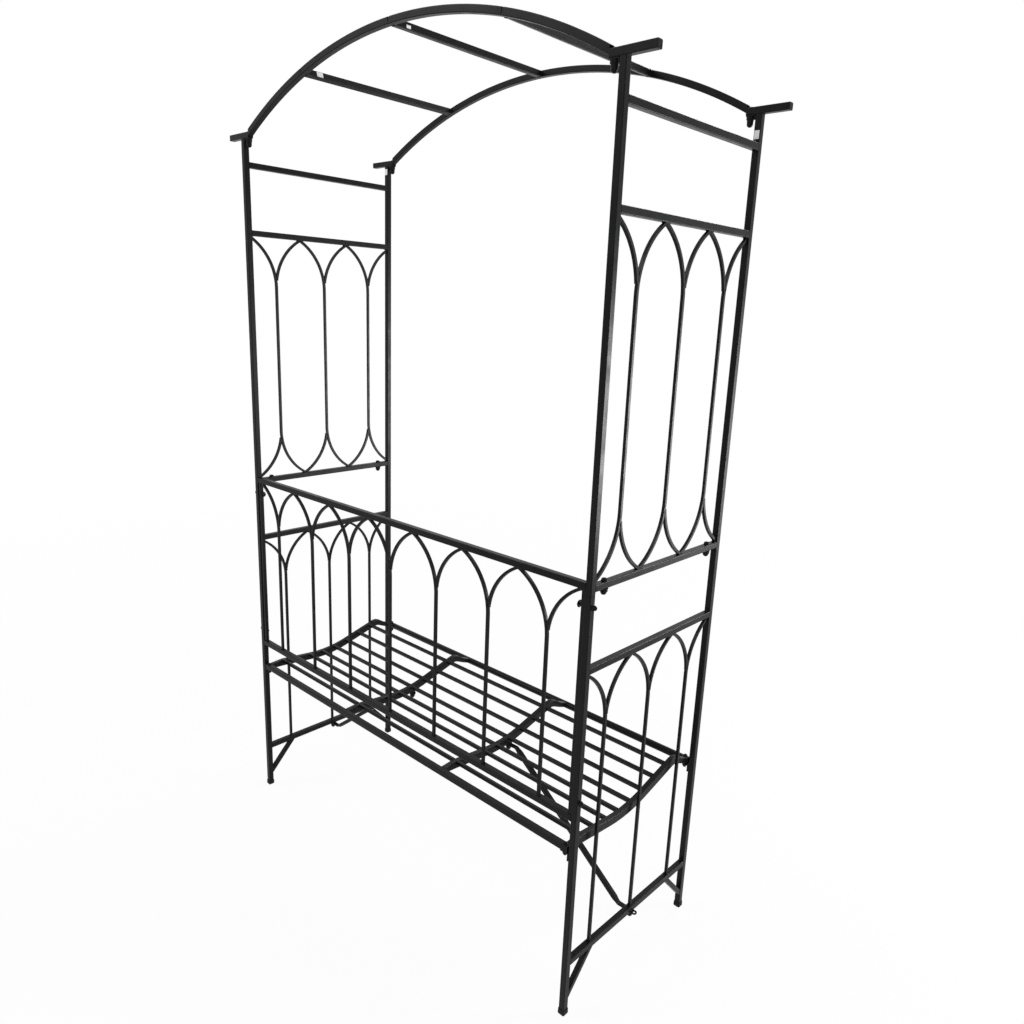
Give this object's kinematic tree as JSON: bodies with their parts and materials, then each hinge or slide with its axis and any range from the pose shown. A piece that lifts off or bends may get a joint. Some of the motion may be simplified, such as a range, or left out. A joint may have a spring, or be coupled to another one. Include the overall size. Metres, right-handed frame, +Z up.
{
  "type": "trellis arch bench",
  "caption": "Free-standing garden arch of square steel tube with trellis side frames, bowed ladder roof, and a contoured slatted bench with a pointed-arch back panel.",
  "frame": {"origin": "centre of the four feet on the ground", "axes": "+X across the arch to the sitter's left, +Y to the front, the way a sitter faces, +Z up"},
  "size_m": [1.373, 0.5005, 2.1185],
  "materials": {
    "black_powder_coat": "satin black powder coat on steel",
    "black_fasteners": "semi-gloss black, coated steel bolts and cap nuts",
    "bare_sleeve": "dark satin coat on the joint sleeves",
    "black_plastic": "matt black moulded caps and plugs"
  },
  "bodies": {
    "root": {"upper_post_rear_left": "black_powder_coat", "upper_post_front_left": "black_powder_coat", "stub_rear_left": "black_powder_coat", "stub_front_left": "black_powder_coat", "top_rail_left": "black_powder_coat", "frieze_rail_left": "black_powder_coat", "hem_rail_left": "black_powder_coat", "upper_bars_left": "black_powder_coat", "upper_post_rear_right": "black_powder_coat", "upper_post_front_right": "black_powder_coat", "stub_rear_right": "black_powder_coat", "stub_front_right": "black_powder_coat", "top_rail_right": "black_powder_coat", "frieze_rail_right": "black_powder_coat", "hem_rail_right": "black_powder_coat", "upper_bars_right": "black_powder_coat", "lower_post_rear_left": "black_powder_coat", "lower_post_front_left": "black_powder_coat", "arm_rail_left": "black_powder_coat", "foot_rail_left": "black_powder_coat", "lower_bars_left": "black_powder_coat", "foot_braces_left": "black_powder_coat", "lower_post_rear_right": "black_powder_coat", "lower_post_front_right": "black_powder_coat", "arm_rail_right": "black_powder_coat", "foot_rail_right": "black_powder_coat", "lower_bars_right": "black_powder_coat", "foot_braces_right": "black_powder_coat", "back_top_rail": "black_powder_coat", "back_bottom_rail": "black_powder_coat", "back_upright_left": "black_powder_coat", "back_upright_right": "black_powder_coat", "back_bars": "black_powder_coat", "seat_rear_rail": "black_powder_coat", "seat_front_rail": "black_powder_coat", "seat_end_left": "black_powder_coat", "seat_end_right": "black_powder_coat", "seat_rib_left": "black_powder_coat", "seat_rib_right": "black_powder_coat", "seat_slats": "black_powder_coat", "seat_brackets": "black_powder_coat", "brace_left": "black_powder_coat", "brace_right": "black_powder_coat", "roof_rear_1": "black_powder_coat", "roof_rear_2": "black_powder_coat", "roof_rear_3": "black_powder_coat", "roof_rear_4": "black_powder_coat", "roof_front_1": "black_powder_coat", "roof_front_2": "black_powder_coat", "roof_front_3": "black_powder_coat", "roof_front_4": "black_powder_coat", "rung_left": "black_powder_coat", "rung_middle": "black_powder_coat", "rung_right": "black_powder_coat", "roof_sleeves": "bare_sleeve", "post_sleeves": "bare_sleeve", "bolts": "black_fasteners", "dome_nuts": "black_fasteners", "foot_caps": "black_plastic", "stub_plugs": "black_plastic"}
  },
  "joints": []
}
